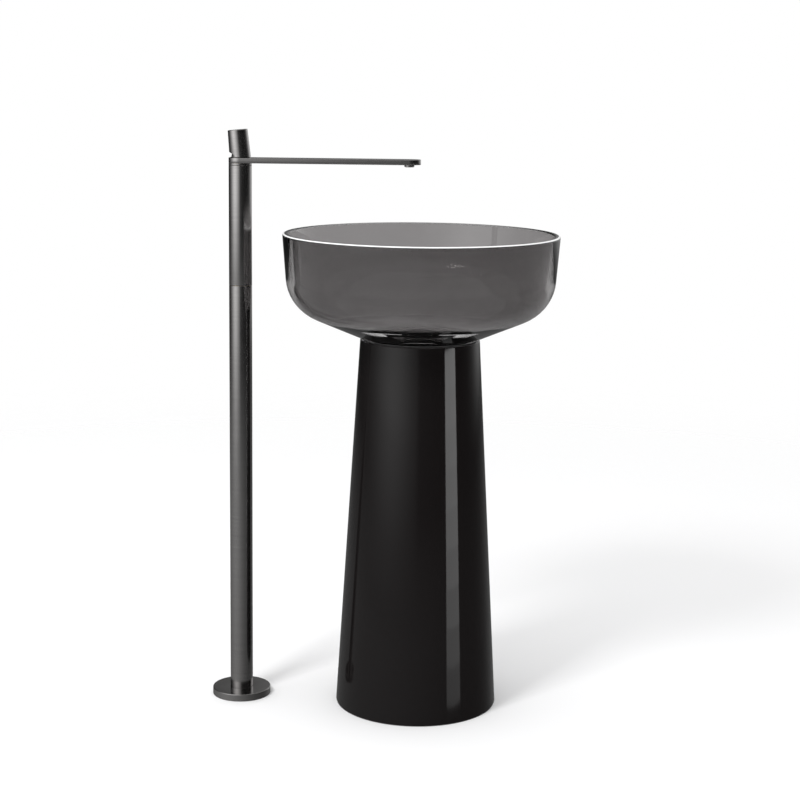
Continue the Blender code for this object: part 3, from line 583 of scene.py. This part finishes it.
def floor_flange():
    install(lathe("tap_flange", [
        (0.0555, 0.0135, 0.0012),
        (0.0555, 0.0, 0.0004),
        (0.0490, 0.0),
        (0.0490, 0.0105),
        (COLUMN_R + 0.0004, 0.0105),
        (COLUMN_R + 0.0004, 0.0135, 0.0004),
    ], TAP, FINE), "gunmetal", "fixed", "tap_floor_flange")


def column():
    """Two tubes that meet in a fine seam, the lower one drilled at the back for its set screw."""
    bore = COLUMN_R - COLUMN_WALL
    lower = lathe("column_lower", [
        (COLUMN_R, COLUMN_SEAM_Z - GAP, 0.0004),
        (COLUMN_R, 0.0063, 0.0003),
        (bore, 0.0063),
        (bore, COLUMN_SEAM_Z - GAP),
    ], TAP, MIDDLE)
    hole = TAP + UP * COLUMN_SCREW_Z
    cut(lower, bar(hole + BACK * (bore - 0.002), hole + BACK * 0.026, 0.0030, 48))
    install(lower, "gunmetal", "fixed", "tap_column_lower")
    install(lathe("column_upper", [
        (COLUMN_R, COLUMN_TOP_Z, 0.0004),
        (COLUMN_R, COLUMN_SEAM_Z + GAP, 0.0004),
        (bore, COLUMN_SEAM_Z + GAP),
        (bore, COLUMN_TOP_Z),
    ], TAP, MIDDLE), "gunmetal", "fixed", "tap_column_upper")


def stadium_loop(work, half_width, reach, height, segments=72):
    """A loop of corners of a slot shape from the tap's axis out to the nozzle."""
    loop = []
    for centre, start in ((reach, -90), (0, 90)):
        for k in range(segments + 1):
            angle = math.radians(start + 180 * k / segments)
            loop.append(work.verts.new(
                (centre + half_width * math.cos(angle), half_width * math.sin(angle), height)))
    return loop


def swing_spout():
    """The flat bar with softly rounded edges, hollow from its neck to the nozzle, and the nozzle's ring."""
    edge, steps = 0.0007, 4
    reach = NOZZLE.x - TAP.x
    upper = []
    for k in range(steps + 1):
        angle = math.radians(90 * k / steps)
        height = (SPOUT_OVER_Z - SPOUT_UNDER_Z) / 2 - edge + edge * math.cos(angle)
        upper.append((edge * (1 - math.sin(angle)), height))
    lower = [(inset, -height) for inset, height in reversed(upper)]
    work = bmesh.new()
    rings = [stadium_loop(work, COLUMN_R - inset, reach, height) for inset, height in upper + lower]
    for here, after in zip(rings, rings[1:]):
        for k in range(len(here)):
            n = (k + 1) % len(here)
            work.faces.new([here[k], here[n], after[n], after[k]])
    work.faces.new(rings[0])
    work.faces.new(rings[-1])
    middle = (SPOUT_UNDER_Z + SPOUT_OVER_Z) / 2
    spout = object_from(work, "spout_bar", Matrix.Translation(TAP + UP * middle))
    cut(spout, bar(TAP + UP * 1.00, TAP + UP * 1.10, NECK_R + 0.0004, MIDDLE))
    cut(spout, brick(TAP + Vector((reach / 2 + 0.006, 0, middle)), (reach - 0.010, 0.018, 0.0045)))
    cut(spout, bar(NOZZLE + UP * 1.00, NOZZLE + UP * (SPOUT_OVER_Z - 0.0015), 0.0088, COARSE))
    install(spout, "gunmetal", "spout", "tap_spout_bar")
    install(lathe("spout_base_ring", [
        (COLUMN_R, SPOUT_UNDER_Z - GAP, 0.0004),
        (COLUMN_R, COLUMN_TOP_Z + GAP, 0.0004),
        (NECK_R + 0.0004, COLUMN_TOP_Z + GAP),
        (NECK_R + 0.0004, SPOUT_UNDER_Z - GAP),
    ], TAP, MIDDLE), "gunmetal", "fixed", "tap_spout_base_ring")
    low = SPOUT_UNDER_Z - 0.0046
    install(lathe("nozzle_ring", [
        (0.0084, SPOUT_UNDER_Z + 0.0045),
        (0.0084, SPOUT_UNDER_Z - 0.0012),
        (0.0095, SPOUT_UNDER_Z - 0.0012, 0.0003),
        (0.0095, low + 0.0016, 0.0004),
        (0.0080, low, 0.0003),
        (0.0066, low, 0.0002),
        (0.0066, low + 0.0010),
        (0.0073, low + 0.0010),
        (0.0073, SPOUT_UNDER_Z + 0.0045),
    ], NOZZLE, COARSE), "gunmetal", "spout", "tap_nozzle_ring")


def dome_nut():
    """The polished dome that the handle tilts over."""
    low = SPOUT_OVER_Z + GAP
    first, last, steps = math.asin(DOME_OPENING_R / DOME_R), math.radians(88), 14
    corners = []
    for k in range(steps + 1):
        angle = first + (last - first) * k / steps
        corners.append((DOME_R * math.sin(angle), PIVOT_Z + DOME_R * math.cos(angle)))
    install(lathe("dome_nut", corners + [
        (0.0170, low + 0.0007, 0.0004),
        (0.0196, low + 0.0003, 0.0001),
        (0.0196, low),
        (SPIGOT_R + 0.0004, low),
        (SPIGOT_R + 0.0004, SPIGOT_TOP_Z + 0.0004),
        (DOME_OPENING_R, SPIGOT_TOP_Z + 0.0004),
    ], TAP, MIDDLE), "gunmetal", "fixed", "tap_dome_nut")


def handle_grip():
    """The leaning handle: hollow over the dome, cut away on the side that it tilts to."""
    grip = lathe("handle_grip", [
        (0, HANDLE_TOP),
        (0.0184, HANDLE_TOP, 0.0010),
        (0.0198, -0.0030),
        (0, -0.0030),
    ], PIVOT, MIDDLE, Matrix.Rotation(-HANDLE_LEAN, 4, "Y"))
    cut(grip, brick(TAP + UP * (PIVOT_Z - 0.02), (0.08, 0.08, 0.04)))
    away = Vector((-math.cos(CUTAWAY_SLOPE), 0, math.sin(CUTAWAY_SLOPE)))
    below = Vector((-math.sin(CUTAWAY_SLOPE), 0, -math.cos(CUTAWAY_SLOPE)))
    edge = TAP + Vector((-0.0005, 0, PIVOT_Z))
    cut(grip, brick(edge + away * 0.020 + below * 0.010, (0.060, 0.080, 0.020), CUTAWAY_SLOPE))
    ball = bmesh.new()
    bmesh.ops.create_uvsphere(ball, u_segments=96, v_segments=48, radius=DOME_R + 0.0008)
    cut(grip, object_from(ball, "cutter", Matrix.Translation(PIVOT)))
    cut(grip, bar(PIVOT + HANDLE_AXIS * 0.010, PIVOT + HANDLE_AXIS * 0.043, 0.0045, 48))
    screw_at = PIVOT + HANDLE_AXIS * 0.030
    cut(grip, bar(screw_at + BACK * 0.003, screw_at + BACK * 0.030, 0.0024, 48))
    install(grip, "gunmetal", "handle", "tap_handle")


# Stage

# What the gloss sees: brightness at elevations in degrees, and bearings turned right from the front.
WINDOW_BEARING, WINDOW_WIDTH, WINDOW_STRENGTH = -49, 26, 1.5
GROUND_BEARING, GROUND_WIDTH = -60, 62
REAR_BEARING, REAR_WIDTH = 145, 20
WINDOW_LEVELS = [(-12.5, 0.0), (-9.5, 0.18), (-7.0, 0.5), (-4.2, 0.75), (-2.5, 1.0), (25, 1.0), (50, 0.3)]
GROUND_LEVELS = [(-60, 0.2), (-14, 0.36), (-10, 0.22), (-7, 0.0)]
REAR_LEVELS = [(-30, 0.12), (-8, 0.06), (-4.5, 0.8), (20, 1.0), (60, 0.3)]
OVERHEAD_LEVELS = [(40, 0.0), (58, 1.0)]
OVERHEAD_STRENGTH = 0.7
DIM_LEVEL = 0.015


def floor():
    """A pale floor that fades into the backdrop with distance."""
    work = bmesh.new()
    bmesh.ops.create_circle(work, cap_ends=True, segments=96, radius=4.6)
    ground = object_from(work, "studio_floor")
    material = bpy.data.materials.new("studio_floor")
    material.use_nodes = True
    tree = material.node_tree
    tree.nodes.clear()
    place = place_of(tree)
    distance = add(tree, "ShaderNodeVectorMath", {"operation": "LENGTH"}, i0=place).outputs["Value"]
    fade = remap(tree, distance, 1.2, 3.6, 0.0, 1.0)
    paint = add(tree, "ShaderNodeBsdfDiffuse", Color=(0.9, 0.9, 0.905, 1)).outputs[0]
    clear = add(tree, "ShaderNodeBsdfTransparent").outputs[0]
    ends = add(tree, "ShaderNodeMixShader", i0=fade, i1=paint, i2=clear).outputs[0]
    add(tree, "ShaderNodeOutputMaterial", Surface=ends)
    ground.data.materials.append(material)
    ground.visible_glossy = False


def lobe(tree, part, middle, width):
    """A soft hump of light round one bearing, in degrees turned right from straight in front."""
    turn, spread = math.radians(middle), math.radians(width)
    ahead = maths(tree, "MULTIPLY", part["Y"], -math.cos(turn))
    facing = maths(tree, "ADD", maths(tree, "MULTIPLY", part["X"], math.sin(turn)), ahead)
    squares = [maths(tree, "MULTIPLY", part[axis], part[axis]) for axis in ("X", "Y")]
    level = maths(tree, "MAXIMUM", maths(tree, "SQRT", maths(tree, "ADD", *squares)), 0.001)
    short = maths(tree, "SUBTRACT", maths(tree, "DIVIDE", facing, level), 1.0)
    return maths(tree, "EXPONENT", maths(tree, "DIVIDE", short, spread * spread))


def by_height(tree, elevation, stops):
    """Brightness against elevation in degrees, through (elevation, brightness up to 1) stops."""
    share = maths(tree, "ADD", maths(tree, "DIVIDE", elevation, math.pi), 0.5)
    ramp = add(tree, "ShaderNodeValToRGB", Fac=share)
    points = ramp.color_ramp.elements
    while len(points) < len(stops):
        points.new(0.5)
    for point, (degrees, level) in zip(points, stops):
        point.position = (degrees + 90) / 180
        point.color = (level, level, level, 1)
    return ramp.outputs["Color"]


def backdrop():
    """White all round for the eye and through the resin. Gloss reflects a studio instead: a soft window at
    the front left, a dim ground, a white back to the right, and a broad light overhead."""
    world = bpy.data.worlds.new("studio")
    bpy.context.scene.world = world
    world.use_nodes = True
    tree = world.node_tree
    tree.nodes.clear()
    direction = add(tree, "ShaderNodeTexCoord").outputs["Generated"]
    part = add(tree, "ShaderNodeSeparateXYZ", i0=direction).outputs
    elevation = maths(tree, "ARCSINE", part["Z"])
    window = maths(tree, "MULTIPLY", lobe(tree, part, WINDOW_BEARING, WINDOW_WIDTH),
                   by_height(tree, elevation, WINDOW_LEVELS))
    window = maths(tree, "MULTIPLY", window, remap(tree, part["X"], -0.11, 0.05, 1.0, 0.35))
    ground = maths(tree, "MULTIPLY", lobe(tree, part, GROUND_BEARING, GROUND_WIDTH),
                   by_height(tree, elevation, GROUND_LEVELS))
    rear = maths(tree, "MULTIPLY", lobe(tree, part, REAR_BEARING, REAR_WIDTH),
                 by_height(tree, elevation, REAR_LEVELS))
    overhead = maths(tree, "MULTIPLY", by_height(tree, elevation, OVERHEAD_LEVELS), OVERHEAD_STRENGTH)
    total = maths(tree, "MULTIPLY", window, WINDOW_STRENGTH)
    for share in (ground, rear, overhead, DIM_LEVEL):
        total = maths(tree, "ADD", total, share)
    path = add(tree, "ShaderNodeLightPath").outputs
    gloss = maths(tree, "SUBTRACT", path["Is Glossy Ray"], path["Transmission Depth"])
    gloss = maths(tree, "MAXIMUM", gloss, 0.0)
    level = add(tree, "ShaderNodeMix", {"data_type": "FLOAT"})
    tree.links.new(gloss, level.inputs[0])
    level.inputs[2].default_value = 1.0
    tree.links.new(total, level.inputs[3])
    sky = add(tree, "ShaderNodeBackground", Color=(1, 1, 1, 1), Strength=level.outputs[0])
    add(tree, "ShaderNodeOutputWorld", Surface=sky.outputs[0])


def panel(name, place, aim, width, height, power, gloss_only=False, receivers=None):
    """A soft light panel that isn't seen itself."""
    data = bpy.data.lights.new(name, "AREA")
    data.shape = "RECTANGLE"
    data.size = width
    data.size_y = height
    data.energy = power
    light = bpy.data.objects.new(name, data)
    bpy.context.scene.collection.objects.link(light)
    light.location = place
    light.rotation_euler = (Vector(aim) - Vector(place)).to_track_quat("-Z", "Y").to_euler()
    light.visible_camera = False
    if gloss_only:
        light.visible_diffuse = False
        light.visible_transmission = False
    if receivers:
        group = bpy.data.collections.new(name + "_receivers")
        for piece in receivers:
            group.objects.link(bpy.data.objects[piece])
        light.light_linking.receiver_collection = group
    return light


def bearing(centre, degrees, distance, height):
    """The point at that height and distance, turned right from straight in front of the centre."""
    angle = math.radians(degrees)
    return Vector((centre.x + distance * math.sin(angle), centre.y - distance * math.cos(angle), height))


def pedestal_strip(rows=9, top=0.70, drop=1.12, width=0.60, distance=1.6, power_per_area=17.7):
    """A tall light that dims towards its foot, row by row, and shows only in the pedestal's gloss."""
    height = drop / rows
    for row in range(rows):
        share = (row + 0.5) / rows
        level = top - drop * share
        power = power_per_area * width * height * (0.95 - 0.8 * share ** 1.5)
        place = bearing(SINK, 57 - 2.2 * share, distance, level)
        panel("pedestal_strip", place, SINK + UP * level, width, height, power, gloss_only=True,
              receivers=["black_pedestal"])


def floor_glow(depth=3.4, widths=(1.2, 2.0, 2.8, 3.8, 5.0), power_per_area=0.30):
    """The lit floor in front of the sink as the bowl's gloss shows it, brightest in the middle."""
    middle = SINK + Vector((0, -depth / 2, 0.004))
    for width in widths:
        glow = panel("floor_glow", middle, middle + UP, width, depth, power_per_area * width * depth,
                     gloss_only=True, receivers=["resin_bowl"])
        glow.data.shape = "ELLIPSE"


def lights():
    key = panel("key", bearing(SINK, -38, 2.6, 2.9), SINK + UP * 0.4, 0.8, 0.8, 60)
    key.visible_glossy = False
    pedestal_strip()
    floor_glow()


def camera():
    """A long lens in front of the sink and a little above it, looking slightly down."""
    yaw, pitch, roll = math.radians(-0.652), math.radians(9.23), math.radians(0.66)
    forward = Vector((math.sin(yaw) * math.cos(pitch), math.cos(yaw) * math.cos(pitch), -math.sin(pitch)))
    right = Vector((math.cos(yaw), -math.sin(yaw), 0))
    above = right.cross(forward)
    across = right * math.cos(roll) + above * math.sin(roll)
    upright = above * math.cos(roll) - right * math.sin(roll)
    data = bpy.data.cameras.new("camera")
    data.lens = 79.07
    data.sensor_width = 36
    data.shift_y = -0.05
    view = bpy.data.objects.new("camera", data)
    bpy.context.scene.collection.objects.link(view)
    matrix = Matrix((across, upright, -forward)).transposed().to_4x4()
    matrix.translation = SINK + Vector((0, -3.253, 1.191))
    view.matrix_world = matrix
    bpy.context.scene.camera = view


def main():
    resin_bowl()
    black_pedestal()
    push_waste()
    floor_flange()
    column()
    swing_spout()
    dome_nut()
    handle_grip()
    floor()
    backdrop()
    lights()
    camera()
    bpy.context.scene.view_settings.view_transform = "Standard"


main()
